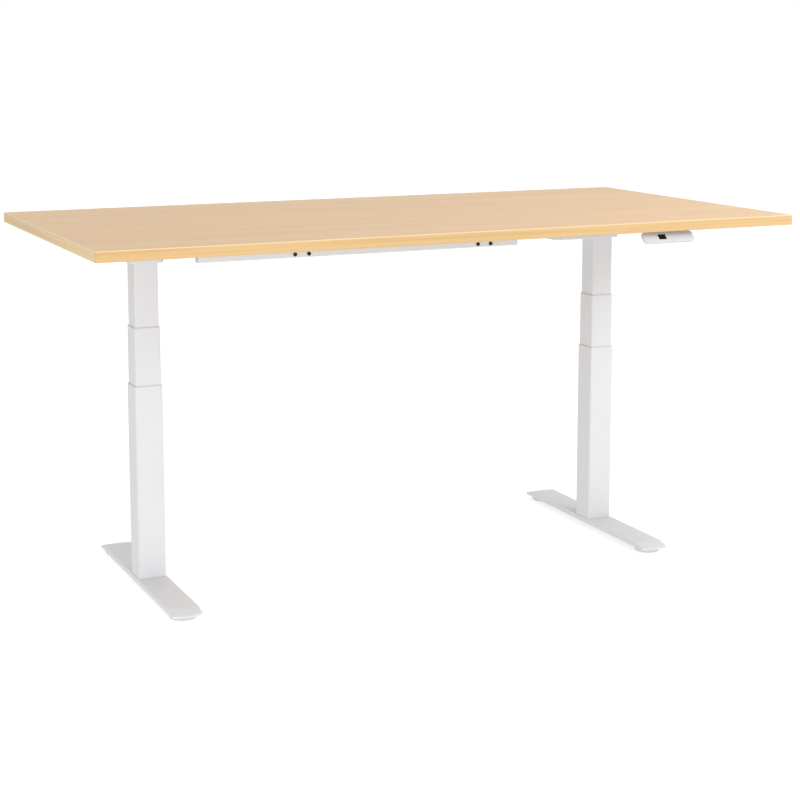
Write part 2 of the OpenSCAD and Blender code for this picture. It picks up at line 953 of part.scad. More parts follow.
module handset_key_film() {
    color("gainsboro")
        inlay(film_x + inlay_play, film_w - 2 * inlay_play, film_h - 2 * inlay_play, inlay_t / 2);
}

// Circuit board, lying on the housing behind the window and the keys
module handset_board() {
    margin = bezel_rim + 2;
    color("green")
        on_face(margin, margin / 2, -bezel_t)
            cube([handset_w - 2 * margin, face_l - margin, board_t]);
}

desktop_panel();
front_edge_band();
rear_edge_band();
left_edge_band();
right_edge_band();
left_support_arm();
right_support_arm();
front_rail_sleeve();
rear_rail_sleeve();
left_front_rail();
right_front_rail();
left_rear_rail();
right_rear_rail();
rail_clamp_screws();
frame_bolts();
desktop_screws();
left_head_housing();
right_head_housing();
left_head_lid();
right_head_lid();
left_gearbox();
right_gearbox();
lift_motor();
drive_shaft();
left_upper_tube();
right_upper_tube();
left_lift_nut();
right_lift_nut();
left_drive_tube();
right_drive_tube();
left_middle_tube();
right_middle_tube();
left_middle_guide();
right_middle_guide();
left_nut_bearing();
right_nut_bearing();
left_nut_tube();
right_nut_tube();
left_lower_tube();
right_lower_tube();
left_lower_guide();
right_lower_guide();
left_lead_screw();
right_lead_screw();
left_foot();
right_foot();
foot_bolts();
left_front_glide();
left_rear_glide();
right_front_glide();
right_rear_glide();
control_box_plate();
control_box_shell();
control_board();
control_sockets();
handset_bezel();
handset_housing();
handset_board();
handset_window();
handset_key_film();
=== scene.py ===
"""Looks of the height adjustable standing desk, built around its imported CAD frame.

Everything is in metres, in the frame of the part: +X along the desk, +Y to the back, +Z up,
with the floor at z = 0.
"""

import json
import math

import bmesh
import bpy
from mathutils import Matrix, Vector


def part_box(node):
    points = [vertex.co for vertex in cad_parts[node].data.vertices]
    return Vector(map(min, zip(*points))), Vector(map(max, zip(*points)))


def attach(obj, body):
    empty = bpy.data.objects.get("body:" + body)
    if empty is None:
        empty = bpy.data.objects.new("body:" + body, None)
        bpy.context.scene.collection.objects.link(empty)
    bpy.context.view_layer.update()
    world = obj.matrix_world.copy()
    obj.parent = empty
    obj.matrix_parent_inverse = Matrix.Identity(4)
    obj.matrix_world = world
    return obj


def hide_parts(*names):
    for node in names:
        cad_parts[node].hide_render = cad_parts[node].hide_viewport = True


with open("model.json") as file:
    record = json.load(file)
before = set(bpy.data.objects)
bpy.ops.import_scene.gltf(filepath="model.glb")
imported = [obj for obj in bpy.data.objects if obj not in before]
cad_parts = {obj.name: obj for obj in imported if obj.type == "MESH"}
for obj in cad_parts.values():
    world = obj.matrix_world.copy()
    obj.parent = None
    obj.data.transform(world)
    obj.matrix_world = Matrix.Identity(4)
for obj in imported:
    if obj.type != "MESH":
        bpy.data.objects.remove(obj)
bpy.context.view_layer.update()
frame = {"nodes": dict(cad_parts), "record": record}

MM = 0.001
SIDES = ("left", "right")
RECORD = frame["record"]
SLOT_OF = {row["node"]: row["material_slot"] for row in RECORD["subparts"]}
BODY_OF = {node: body for body, nodes in RECORD["behaviour"]["bodies"].items() for node in nodes}

# Camera
CAMERA_PLACE = (-1.826, -3.986, 1.359)
CAMERA_YAW = math.radians(24.77)
CAMERA_PITCH = math.radians(8.05)
CAMERA_LENS = 77.75
CAMERA_SHIFT = -0.15

# Detail sizes that the CAD part leaves plain
CORNER_STEPS = 8
TUBE_RADII = {"lower": 5 * MM, "middle": 4 * MM, "upper": 3 * MM}
TUBE_WALL = 1.8 * MM
SHEET = 2 * MM
EDGE = 0.4 * MM                     # softening of a sheared edge
FOLD = 2.5 * MM                     # outer radius of a fold in sheet metal
PAST = 5 * MM                       # how far a cutter reaches past the surface it opens


# ---------- materials ----------

def new_material(name, roughness, metallic=0.0):
    """A material with its Principled shader, and the tree to add nodes to."""
    material = bpy.data.materials.new(name)
    material.use_nodes = True
    tree = material.node_tree
    shader = tree.nodes["Principled BSDF"]
    shader.inputs["Roughness"].default_value = roughness
    shader.inputs["Metallic"].default_value = metallic
    return material, tree, shader


def place_node(tree, scale):
    """Object coordinates, stretched by scale."""
    coords = tree.nodes.new("ShaderNodeTexCoord")
    mapping = tree.nodes.new("ShaderNodeMapping")
    mapping.inputs["Scale"].default_value = scale
    tree.links.new(coords.outputs["Object"], mapping.inputs["Vector"])
    return mapping.outputs["Vector"]


def noise(tree, scale, detail=4.0, roughness=0.5, stretch=(1, 1, 1), distortion=0.0):
    node = tree.nodes.new("ShaderNodeTexNoise")
    node.inputs["Scale"].default_value = scale
    node.inputs["Detail"].default_value = detail
    node.inputs["Roughness"].default_value = roughness
    node.inputs["Distortion"].default_value = distortion
    tree.links.new(place_node(tree, stretch), node.inputs["Vector"])
    return node.outputs["Fac"]


def ramp(tree, value, stops):
    """stops is a list of (position, colour or grey)."""
    node = tree.nodes.new("ShaderNodeValToRGB")
    elements = node.color_ramp.elements
    while len(elements) < len(stops):
        elements.new(0.5)
    for element, (position, colour) in zip(elements, stops):
        element.position = position
        grey = not hasattr(colour, "__len__")
        element.color = (colour, colour, colour, 1) if grey else (*colour, 1)
    tree.links.new(value, node.inputs["Fac"])
    return node.outputs["Color"]


def mix(tree, kind, factor, first, second):
    """Mixes two colours. factor is a number or an output, and each colour a tuple or an output."""
    node = tree.nodes.new("ShaderNodeMix")
    node.data_type = "RGBA"
    node.blend_type = kind
    # Sockets 0, 6 and 7 are the factor and the two colours
    for number, value in ((0, factor), (6, first), (7, second)):
        socket = node.inputs[number]
        if isinstance(value, bpy.types.NodeSocket):
            tree.links.new(value, socket)
        elif hasattr(value, "__len__"):
            socket.default_value = (*value, 1)
        else:
            socket.default_value = value
    return node.outputs[2]


def bump(tree, shader, height, distance, strength=1.0):
    node = tree.nodes.new("ShaderNodeBump")
    node.inputs["Distance"].default_value = distance
    node.inputs["Strength"].default_value = strength
    tree.links.new(height, node.inputs["Height"])
    tree.links.new(node.outputs["Normal"], shader.inputs["Normal"])


def roughness_from(tree, shader, value, low, high):
    node = tree.nodes.new("ShaderNodeMapRange")
    node.inputs["To Min"].default_value = low
    node.inputs["To Max"].default_value = high
    tree.links.new(value, node.inputs["Value"])
    tree.links.new(node.outputs["Result"], shader.inputs["Roughness"])


def wood(name, pale, deep, fleck, along="x", roughness=0.42, streak=0.5, figure=38):
    """Fine straight-grained laminate. The grain runs along the named axis, and figure is how
    many of its broader streaks there are in a metre across it."""
    def stretched(length, across):
        return (length, across, across) if along == "x" else (across, length, across)

    material, tree, shader = new_material(name, roughness)
    shader.inputs["Specular IOR Level"].default_value = 0.2
    broad = noise(tree, 1.0, 3, 0.5, stretched(0.7, 9))
    cathedral = noise(tree, 1.0, 5, 0.55, stretched(1.3, figure), distortion=0.35)
    fine = noise(tree, 1.0, 4, 0.6, stretched(5, 420))
    pores = noise(tree, 1.0, 2, 0.5, stretched(48, 1500))
    grain = mix(tree, "MIX", streak, cathedral, fine)
    base = ramp(tree, grain, [(0.30, deep), (0.52, mid_colour(deep, pale, 0.62)), (0.72, pale)])
    toned = mix(tree, "MULTIPLY", 0.5, base, ramp(tree, broad, [(0.3, 0.90), (0.7, 1.0)]))
    dashes = ramp(tree, pores, [(0.30, 0.22), (0.40, 0.0)])
    tree.links.new(mix(tree, "MIX", dashes, toned, fleck), shader.inputs["Base Color"])
    roughness_from(tree, shader, fine, roughness - 0.05, roughness + 0.07)
    open_pores = ramp(tree, pores, [(0.30, 0.3), (0.42, 1.0)])
    bump(tree, shader, mix(tree, "MULTIPLY", 1.0, fine, open_pores), 0.05 * MM, 0.5)
    return material


def mid_colour(first, second, share):
    return tuple(a + (b - a) * share for a, b in zip(first, second))


def powder_coat(name, colour, roughness=0.42):
    """Fine orange-peel paint over steel."""
    material, tree, shader = new_material(name, roughness)
    cloud = noise(tree, 6, 3)
    peel = noise(tree, 900, 2, 0.4)
    grit = noise(tree, 3200, 2, 0.5)
    tone = ramp(tree, cloud, [(0.3, tuple(0.975 * c for c in colour)), (0.7, colour)])
    specks = mix(tree, "MULTIPLY", 0.35, tone, ramp(tree, grit, [(0.34, 0.93), (0.5, 1.0)]))
    tree.links.new(specks, shader.inputs["Base Color"])
    roughness_from(tree, shader, peel, roughness - 0.06, roughness + 0.08)
    bump(tree, shader, mix(tree, "MIX", 0.3, peel, grit), 0.06 * MM, 0.6)
    return material


def moulded(name, colour, roughness, texture_scale=2200, depth=0.04, speck=0.9, specular=0.5):
    """Moulded plastic with a fine spark-eroded texture."""
    material, tree, shader = new_material(name, roughness)
    shader.inputs["Specular IOR Level"].default_value = specular
    grit = noise(tree, texture_scale, 3, 0.6)
    cloud = noise(tree, 18, 2)
    tone = ramp(tree, cloud, [(0.3, tuple(0.96 * c for c in colour)), (0.7, colour)])
    tree.links.new(mix(tree, "MULTIPLY", 0.5, tone, ramp(tree, grit, [(0.3, speck), (0.6, 1.0)])),
                   shader.inputs["Base Color"])
    roughness_from(tree, shader, grit, roughness - 0.05, roughness + 0.08)
    bump(tree, shader, grit, depth * MM, 0.6)
    return material


def turned_metal(name, colour, roughness, stretch=(1, 1, 40), metallic=1.0):
    """Machined metal with fine tool marks."""
    material, tree, shader = new_material(name, roughness, metallic)
    marks = noise(tree, 60, 4, 0.6, stretch)
    cloud = noise(tree, 25, 3)
    tone = ramp(tree, marks, [(0.3, tuple(0.82 * c for c in colour)), (0.7, colour)])
    tree.links.new(mix(tree, "MULTIPLY", 0.5, tone, ramp(tree, cloud, [(0.3, 0.88), (0.7, 1.0)])),
                   shader.inputs["Base Color"])
    roughness_from(tree, shader, marks, roughness - 0.06, roughness + 0.1)
    bump(tree, shader, marks, 0.02 * MM, 0.5)
    return material


def circuit_board(name):
    """Green solder mask with copper tracks just showing through."""
    material, tree, shader = new_material(name, 0.35)
    brick = tree.nodes.new("ShaderNodeTexBrick")
    brick.inputs["Scale"].default_value = 90
    brick.inputs["Color1"].default_value = (0.012, 0.085, 0.035, 1)
    brick.inputs["Color2"].default_value = (0.010, 0.065, 0.028, 1)
    brick.inputs["Mortar"].default_value = (0.035, 0.16, 0.06, 1)
    brick.inputs["Mortar Size"].default_value = 0.03
    tree.links.new(place_node(tree, (1, 1, 1)), brick.inputs["Vector"])
    tree.links.new(brick.outputs["Color"], shader.inputs["Base Color"])
    bump(tree, shader, brick.outputs["Fac"], 0.03 * MM, 0.5)
    return material


WHITE = (0.542, 0.551, 0.568)
# Tones of the woods: the pale and the deep part of the grain, and the flecks
TOP_TONES = ((0.69, 0.468, 0.268), (0.565, 0.366, 0.19), (0.41, 0.26, 0.13))
BAND_TONES = ((0.55, 0.385, 0.195), (0.42, 0.262, 0.104), (0.34, 0.185, 0.065))
# The end bands are the same banding as the long ones, with the grain along Y, but in paler tones:
# painted light on the ends
SHORT_BAND_PAINTED_LIGHT_TONES = ((0.632, 0.47, 0.252), (0.509, 0.354, 0.168), (0.414, 0.25, 0.106))
# Tones of the upper arris: paler than the band, a painted highlight along the top edges
ARRIS_HIGHLIGHT_TONES = ((0.70, 0.53, 0.34), (0.64, 0.47, 0.28), (0.5, 0.36, 0.2))
BAND_GRAIN = {"streak": 0.2, "figure": 110}
MATERIALS = {
    "desktop_laminate": wood("desktop_laminate", *TOP_TONES),
    "edge_banding": wood("edge_banding", *BAND_TONES, **BAND_GRAIN),
    "edge_banding_short_painted_light": wood("edge_banding_short_painted_light", *SHORT_BAND_PAINTED_LIGHT_TONES, along="y", **BAND_GRAIN),
    "arris_painted_highlight": wood("arris_painted_highlight", *ARRIS_HIGHLIGHT_TONES, roughness=0.3),
    "white_powder_coat": powder_coat("white_powder_coat", WHITE),
    "black_screw": turned_metal("black_screw", (0.02, 0.02, 0.022), 0.38, (1, 1, 1), 0.6),
    "zinc_steel": turned_metal("zinc_steel", (0.62, 0.63, 0.65), 0.32, (1, 1, 12)),
    "cast_gearbox": turned_metal("cast_gearbox", (0.42, 0.43, 0.45), 0.5, (12, 12, 12)),
    "motor_black": powder_coat("motor_black", (0.025, 0.025, 0.028), 0.36),
    "turned_steel": turned_metal("turned_steel", (0.60, 0.61, 0.63), 0.26),
    "nut_brass": turned_metal("nut_brass", (0.62, 0.43, 0.17), 0.3),
    "bearing_block": moulded("bearing_block", (0.10, 0.10, 0.11), 0.5),
    "guide_plastic": moulded("guide_plastic", (0.54, 0.545, 0.55), 0.45),
    "glide_plastic": moulded("glide_plastic", (0.56, 0.562, 0.57), 0.42),
    "control_box_black": moulded("control_box_black", (0.018, 0.018, 0.02), 0.45, 1500, 0.08),
    "circuit_board": circuit_board("circuit_board"),
    "socket_plastic": moulded("socket_plastic", (0.03, 0.03, 0.032), 0.4),
    "handset_white": moulded("handset_white", (0.475, 0.48, 0.50), 0.36, 900, 0.015, 0.96),
    "display_black": moulded("display_black", (0.006, 0.006, 0.007), 0.12, 400, 0.002, 0.97,
                             specular=0.15),
    "key_film": moulded("key_film", (0.465, 0.475, 0.505), 0.25, 2600, 0.01),
    "key_mark": moulded("key_mark", (0.30, 0.34, 0.46), 0.3, 2600, 0.01),
}
BAND_MATERIALS = {"front_edge_band": "edge_banding", "rear_edge_band": "edge_banding",
                  "left_edge_band": "edge_banding_short_painted_light", "right_edge_band": "edge_banding_short_painted_light"}


# ---------- mesh helpers ----------

def mesh_object(name, vertices, faces):
    mesh = bpy.data.meshes.new(name)
    mesh.from_pydata([tuple(v) for v in vertices], [], faces)
    mesh.validate()
    return bpy.data.objects.new(name, mesh)


def settle(piece, body, node_names, slot, material=None, smooth=30):
    """Links a finished piece, gives it its material, ties it to its body and hides the CAD nodes that
    it stands in for.
    """
    bpy.context.scene.collection.objects.link(piece)
    work = bmesh.new()
    work.from_mesh(piece.data)
    bmesh.ops.remove_doubles(work, verts=work.verts, dist=1e-7)
    bmesh.ops.recalc_face_normals(work, faces=work.faces)
    for edge in work.edges:
        edge.smooth = len(edge.link_faces) == 2 and edge.calc_face_angle(0) < math.radians(smooth)
    for face in work.faces:
        face.smooth = True
    work.to_mesh(piece.data)
    work.free()
    piece.data.materials.clear()
    piece.data.materials.append(MATERIALS[material or slot])
    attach(piece, body)
    if node_names:
        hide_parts(*node_names)


def rounded_ring(width, depth, radius, centre=(0, 0), steps=CORNER_STEPS):
    """Points of a rounded rectangle, anticlockwise, as (x, y)."""
    points = []
    corners = ((1, 1, 0), (-1, 1, 90), (-1, -1, 180), (1, -1, 270))
    for sx, sy, start in corners:
        for i in range(steps + 1):
            angle = math.radians(start + 90 * i / steps)
            points.append((centre[0] + sx * (width / 2 - radius) + radius * math.cos(angle),
                           centre[1] + sy * (depth / 2 - radius) + radius * math.sin(angle)))
    return points


def skin(name, rings, closed):
    """Joins rings of equally many points. A closed skin joins the last ring to the first,
    and an open one is capped at both ends."""
    count = len(rings[0])
    vertices = [point for ring in rings for point in ring]
    faces = []
    pairs = [(i, i + 1) for i in range(len(rings) - 1)]
    if closed:
        pairs.append((len(rings) - 1, 0))
    for a, b in pairs:
        for i in range(count):
            j = (i + 1) % count
            faces.append((a * count + i, a * count + j, b * count + j, b * count + i))
    if not closed:
        faces.append(tuple(range(count - 1, -1, -1)))
        last = (len(rings) - 1) * count
        faces.append(tuple(last + i for i in range(count)))
    return mesh_object(name, vertices, faces)


def walled_tube(name, width, depth, radius, wall, start, end, place):
    """A rounded rectangular tube with softened ends. place(u, v, w) turns a point of its
    section (u, v) at length w into a point of the desk."""
    def ring(grow, at):
        points = rounded_ring(width + 2 * grow, depth + 2 * grow, max(radius + grow, 0.3 * MM))
        return [place(u, v, at) for u, v in points]

    rings = [
        ring(-EDGE, start), ring(0, start + EDGE), ring(0, end - EDGE), ring(-EDGE, end),
        ring(-wall + EDGE, end), ring(-wall, end - EDGE),
        ring(-wall, start + EDGE), ring(-wall + EDGE, start),
    ]
    return skin(name, rings, closed=True)


def turned(name, stations, axis_place, steps=32):
    """A turned piece. stations are (height, radius, shape), and shape is round or hex."""
    rings = []
    for height, radius, shape in stations:
        ring = []
        for i in range(steps):
            angle = 2 * math.pi * i / steps
            reach = radius
            if shape == "hex":
                fold = (angle + math.pi / 6) % (math.pi / 3) - math.pi / 6
                reach = radius * math.cos(math.pi / 6) / math.cos(fold)
            ring.append(axis_place(reach * math.cos(angle), reach * math.sin(angle), height))
        rings.append(ring)
    return skin(name, rings, closed=False)


def soft_box(name, low, high, radius):
    """A box with rounded edges."""
    work = bmesh.new()
    bmesh.ops.create_cube(work, size=1)
    size = Vector(high) - Vector(low)
    middle = (Vector(high) + Vector(low)) / 2
    bmesh.ops.scale(work, vec=size, verts=work.verts)
    bmesh.ops.translate(work, vec=middle, verts=work.verts)
    bmesh.ops.bevel(work, geom=work.edges[:], offset=radius, segments=3, profile=0.5, affect="EDGES")
    mesh = bpy.data.meshes.new(name)
    work.to_mesh(mesh)
    work.free()
    return bpy.data.objects.new(name, mesh)


def joined(name, parts):
    """One object from several unlinked ones."""
    work = bmesh.new()
    for part in parts:
        work.from_mesh(part.data)
        bpy.data.objects.remove(part)
    mesh = bpy.data.meshes.new(name)
    work.to_mesh(mesh)
    work.free()
    return bpy.data.objects.new(name, mesh)


def cut(piece, cutters):
    """Cuts the cutters out of a piece that isn't linked yet."""
    scene = bpy.context.scene
    scene.collection.objects.link(piece)
    for cutter in cutters:
        scene.collection.objects.link(cutter)
        modifier = piece.modifiers.new("cut", "BOOLEAN")
        modifier.operation = "DIFFERENCE"
        modifier.solver = "EXACT"
        modifier.object = cutter
    bpy.context.view_layer.update()
    evaluated = piece.evaluated_get(bpy.context.evaluated_depsgraph_get())
    mesh = bpy.data.meshes.new_from_object(evaluated)
    piece.modifiers.clear()
    piece.data = mesh
    scene.collection.objects.unlink(piece)
    for cutter in cutters:
        bpy.data.objects.remove(cutter)
    return piece


def upright(centre):
    """Places a section around a vertical axis."""
    return lambda u, v, w: (centre[0] + u, centre[1] + v, w)


def lengthwise(y, z):
    """Places a section around an axis along X."""
    return lambda u, v, w: (w, y + u, z + v)


def crosswise(x, z):
    """Places a section around an axis along Y."""
    return lambda u, v, w: (x - u, w, z + v)


def middle_of(node):
    low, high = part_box(node)
    return (low + high) / 2


def centre_line(low, high):
    """Where the vertical axis through the middle of a box stands, as (x, y)."""
    return (low.x + high.x) / 2, (low.y + high.y) / 2


def rod(name, radius, start, end, place):
    return turned(name, [(start, radius, "round"), (end, radius, "round")], place)


# ---------- desktop ----------

ARRIS = 1.9 * MM


def edge_bands():
    """Edge bands with a small rounded arris on their outer edges. The upper arris is paler: a painted
    highlight.
    """
    for node, material in BAND_MATERIALS.items():
        low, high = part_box(node)
        lengthways = high.x - low.x > high.y - low.y
        outward = Vector((0, low.y, 0)) if lengthways else Vector((low.x, 0, 0))
        work = bmesh.new()
        bmesh.ops.create_cube(work, size=1)
        bmesh.ops.scale(work, vec=high - low, verts=work.verts)
        bmesh.ops.translate(work, vec=(high + low) / 2, verts=work.verts)
        outer = max(work.faces, key=lambda face: face.normal.dot(outward))
        edges = [e for e in outer.edges if lengthways or abs(e.verts[0].co.z - e.verts[1].co.z) < 1e-6]
        bmesh.ops.bevel(work, geom=edges, offset=ARRIS, segments=4, profile=0.5, affect="EDGES")
        mesh = bpy.data.meshes.new(node + "_look")
        work.to_mesh(mesh)
        work.free()
        piece = bpy.data.objects.new(node + "_look", mesh)
        settle(piece, "top", [node], "edge_banding", material)
        # The arris faces that lean upwards take the paler tones: a painted highlight
        mesh.materials.append(MATERIALS["arris_painted_highlight"])
        for face in mesh.polygons:
            arris = 0.1 < face.normal.z < 0.99
            face.material_index = int(arris)


# ---------- columns ----------

BASE_PLATE = 8 * MM                 # thickness of the plate that closes a lower tube
GUIDE_RIM = 1.5 * MM                # height of a guide's rim


def column_tubes():
    for side in SIDES:
        for stage, radius in TUBE_RADII.items():
            node = f"{side}_{stage}_tube"
            low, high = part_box(node)
            width = high.x - low.x
            centre = centre_line(low, high)
            tube = walled_tube(node + "_look", width, width, radius, TUBE_WALL, low.z, high.z,
                               upright(centre))
            if stage == "lower":
                plate_low = Vector((low.x + TUBE_WALL, low.y + TUBE_WALL, low.z))
                plate_high = Vector((high.x - TUBE_WALL, high.y - TUBE_WALL, low.z + BASE_PLATE))
                plate = soft_box("plate", plate_low, plate_high, 0.5 * MM)
                tube = joined(node + "_look", [tube, plate])
            settle(tube, BODY_OF[node], [node], "white_powder_coat")


def tube_guides():
    """Plastic guides: a sleeve inside the mouth and a rounded rim on top."""
    for side in SIDES:
        for stage in ("lower", "middle"):
            node = f"{side}_{stage}_guide"
            low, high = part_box(node)
            outer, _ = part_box(f"{side}_{stage}_tube")
            inner_node = f"{side}_{'middle' if stage == 'lower' else 'upper'}_tube"
            inner_low, inner_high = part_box(inner_node)
            centre = centre_line(low, high)
            hole = inner_high.x - inner_low.x + 0.2 * MM
            sleeve = 2 * (centre[0] - outer.x - TUBE_WALL - 0.05 * MM)
            rim = high.x - low.x
            radius = TUBE_RADII[stage]
            inside = radius - TUBE_WALL
            under_rim = high.z - GUIDE_RIM
            shapes = [
                (sleeve, low.z, inside), (sleeve, under_rim, inside),
                (rim, under_rim, radius), (rim, high.z - 0.5 * MM, radius),
                (rim - 1 * MM, high.z, radius), (hole + 0.4 * MM, high.z, inside),
                (hole, high.z - 0.4 * MM, inside), (hole, low.z, inside),
            ]
            place = upright(centre)
            rings = [[place(u, v, z) for u, v in rounded_ring(w, w, r)] for w, z, r in shapes]
            settle(skin(node + "_look", rings, closed=True), BODY_OF[node], [node], "guide_plastic")


# ---------- feet ----------

FOOT_FLAT = 570 * MM                # length of the level top
FOOT_LIP = 4 * MM                   # height of the nose at its tip
FOOT_BULGE = 7 * MM                 # how far the tip bows out
FOOT_EDGE = 1.5 * MM                # radius along the top's edges
FOOT_SHEET = 3 * MM                 # thickness of the sides
FOOT_PLATE = 4 * MM                 # thickness of the top
FOOT_SOLID = 90 * MM                # length of each solid end


def foot_section(x, y, width, bottom, top, radius):
    """Cross-section of a foot at y, rounded along its two upper edges."""
    points = [(x - width / 2, y, bottom)]
    for sx, start in ((-1, 180), (1, 90)):
        for i in range(CORNER_STEPS + 1):
            angle = math.radians(start - 90 * i / CORNER_STEPS)
            points.append((x + sx * (width / 2 - radius) + radius * math.cos(angle), y,
                           top - radius + radius * math.sin(angle)))
    points.append((x + width / 2, y, bottom))
    return points


def foot_stations(length, flat):
    """Distance from the foot's middle, share of its full width and share of the nose's slope."""
    tip = length / 2
    stations = [(0.0, 1.0, 0.0), (flat / 2 - 1.5 * MM, 1.0, 0.0)]
    slope = tip - flat / 2
    for share in (0.02, 0.10, 0.3, 0.55):
        stations.append((flat / 2 + share * slope, 1.0, share))
    for t in (1.0, 0.97, 0.92, 0.84, 0.72, 0.58, 0.42, 0.26, 0.1):
        reach = tip - FOOT_BULGE * t * t
        stations.append((reach, t, (reach - flat / 2) / slope))
    return stations


def feet():
    for side in SIDES:
        node = f"{side}_foot"
        low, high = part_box(node)
        centre = (low + high) / 2
        width = high.x - low.x
        drop = high.z - low.z - FOOT_LIP
        rings = []
        stations = foot_stations(high.y - low.y, FOOT_FLAT)
        for sign, series in ((-1, stations[::-1]), (1, stations[1:])):
            for reach, wide, slope in series:
                top = high.z - max(slope, 0) * drop
                radius = min(FOOT_EDGE, 0.45 * (top - low.z), 0.4 * wide * width)
                y = centre.y + sign * reach
                rings.append(foot_section(centre.x, y, wide * width, low.z, top, radius))
        body = skin(node + "_look", rings, closed=False)
        hollow = soft_box("hollow",
                          (low.x + FOOT_SHEET, low.y + FOOT_SOLID, low.z - PAST),
                          (high.x - FOOT_SHEET, high.y - FOOT_SOLID, high.z - FOOT_PLATE), FOOT_EDGE)
        settle(cut(body, [hollow]), "base", [node], "white_powder_coat")


GLIDE_DISC = 10 * MM                # height of the disc, where the stud begins
STUD_PITCH = 1.5 * MM


def glides():
    """Moulded glides: a disc with a soft edge, a raised boss and a threaded stud."""
    for side in SIDES:
        for end in ("front", "rear"):
            node = f"{side}_{end}_glide"
            low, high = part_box(node)
            centre = centre_line(low, high)
            radius = (high.x - low.x) / 2
            profile = [
                (0, 6 * MM), (0, radius - 2.2 * MM), (0.5 * MM, radius - 1 * MM),
                (1.4 * MM, radius - 0.2 * MM), (2.4 * MM, radius), (6.2 * MM, radius),
                (7.6 * MM, radius - 0.5 * MM), (8.8 * MM, radius - 1.6 * MM),
                (9.5 * MM, radius - 3.4 * MM), (9.7 * MM, 14 * MM),
                (GLIDE_DISC, 12.5 * MM), (GLIDE_DISC, 5 * MM),
            ]
            turn = GLIDE_DISC
            while turn < high.z - STUD_PITCH:
                profile += [(turn + 0.4 * MM, 4.9 * MM), (turn + 1.1 * MM, 4.3 * MM)]
                turn += STUD_PITCH
            profile.append((high.z, 4.2 * MM))
            stations = [(height, reach, "round") for height, reach in profile]
            piece = turned(node + "_look", stations, upright(centre), 64)
            settle(piece, BODY_OF[node], [node], "glide_plastic")


# ---------- heads and frame ----------

HEAD_RADIUS = 12 * MM
HEAD_SOFT = 3 * MM                  # radius of the lower edge
SHAFT_HOLE = 8 * MM                 # radius of the hole for the cross shaft
LID_PLAY = 0.2 * MM


def outline(low, high, grow, z):
    """The rounded outline of a head at height z, grown outwards by grow."""
    width, depth = high.x - low.x + 2 * grow, high.y - low.y + 2 * grow
    ring = rounded_ring(width, depth, HEAD_RADIUS + grow, centre_line(low, high))
    return [(x, y, z) for x, y in ring]


def head_housings():
    """Pressed housings with soft lower edges, and the lids that close them."""
    for side in SIDES:
        node = f"{side}_head_housing"
        low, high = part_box(node)
        tube_low, tube_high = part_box(f"{side}_upper_tube")
        hole = tube_high.x - tube_low.x + 0.3 * MM
        tube_centre = centre_line(tube_low, tube_high)

        def opening(z):
            ring = rounded_ring(hole, hole, TUBE_RADII["upper"], tube_centre)
            return [(x, y, z) for x, y in ring]

        rings = [opening(low.z)]
        for i in range(6):
            angle = math.radians(18 * i)
            rings.append(outline(low, high, HEAD_SOFT * (math.sin(angle) - 1),
                                 low.z + HEAD_SOFT * (1 - math.cos(angle))))
        for grow, z in ((0, high.z - EDGE), (-EDGE, high.z), (-SHEET, high.z),
                        (-SHEET, low.z + HEAD_SOFT), (-HEAD_SOFT, low.z + SHEET)):
            rings.append(outline(low, high, grow, z))
        rings.append(opening(low.z + SHEET))
        shell = skin(node + "_look", rings, closed=True)
        shaft = middle_of("drive_shaft")
        inner = low.x if side == "right" else high.x
        shaft_hole = rod("shaft_hole", SHAFT_HOLE, inner - 6 * MM, inner + 6 * MM,
                         lengthwise(shaft.y, shaft.z))
        settle(cut(shell, [shaft_hole]), "top", [node], "white_powder_coat")
        head_lid(f"{side}_head_lid", low, high)


def head_lid(node, head_low, head_high):
    """A flat lid that lies in the mouth of a head with a little play."""
    low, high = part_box(node)
    levels = ((-LID_PLAY - EDGE, low.z + 0.3 * MM), (-LID_PLAY, low.z + 0.6 * MM),
              (-LID_PLAY, high.z - EDGE), (-LID_PLAY - EDGE, high.z))
    rings = [outline(head_low, head_high, grow, z) for grow, z in levels]
    settle(skin(node + "_look", rings, closed=False), "top", [node], "white_powder_coat")


ACCESS_HOLES = (-265 * MM, -150 * MM, 150 * MM, 265 * MM)     # along an arm, from its middle
ACCESS_RADIUS = 6.5 * MM


def support_arms():
    """Steel tubes with holes in their undersides that give access to the desktop screws."""
    for side in SIDES:
        node = f"{side}_support_arm"
        low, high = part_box(node)
        centre = (low + high) / 2
        arm = walled_tube(node + "_look", high.x - low.x, high.z - low.z, FOLD, SHEET,
                          low.y, high.y, crosswise(centre.x, centre.z))
        holes = []
        for y in ACCESS_HOLES:
            place = upright((centre.x, centre.y + y))
            holes.append(rod("access", ACCESS_RADIUS, low.z - PAST, low.z + 6 * MM, place))
        settle(cut(arm, holes), "top", [node], "white_powder_coat")


RAIL_PLATE = 5 * MM                 # thickness of the plate that bolts a rail to its arm
RAIL_PLAY = 0.3 * MM
RAIL_STEP = 12 * MM                 # how much lower the rail reaches inside its sleeve
RAIL_MOUTH = 3 * MM                 # how far inside the sleeve the rail turns into a channel
RAIL_LAP = 2 * MM                   # how far its tube and its channel overlap
TAB_HEIGHT = 16 * MM                # height of the tab that closes the low end of a sleeve


def rails():
    """Sleeves and the inner rails that slide in them."""
    for place in ("front", "rear"):
        node = f"{place}_rail_sleeve"
        low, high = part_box(node)
        centre = (low + high) / 2
        sleeve = walled_tube(node + "_look", high.y - low.y, high.z - low.z, FOLD, SHEET,
                             low.x, high.x, lengthwise(centre.y, centre.z))
        tabs = [soft_box("tab", (x, low.y + SHEET - EDGE, low.z + SHEET - EDGE),
                         (x + SHEET, high.y - SHEET + EDGE, low.z + TAB_HEIGHT), 0.3 * MM)
                for x in (low.x, high.x - SHEET)]
        settle(joined(node + "_look", [sleeve] + tabs), "top", [node], "white_powder_coat")
        for side in SIDES:
            inner_rail(f"{side}_{place}_rail", low, high)


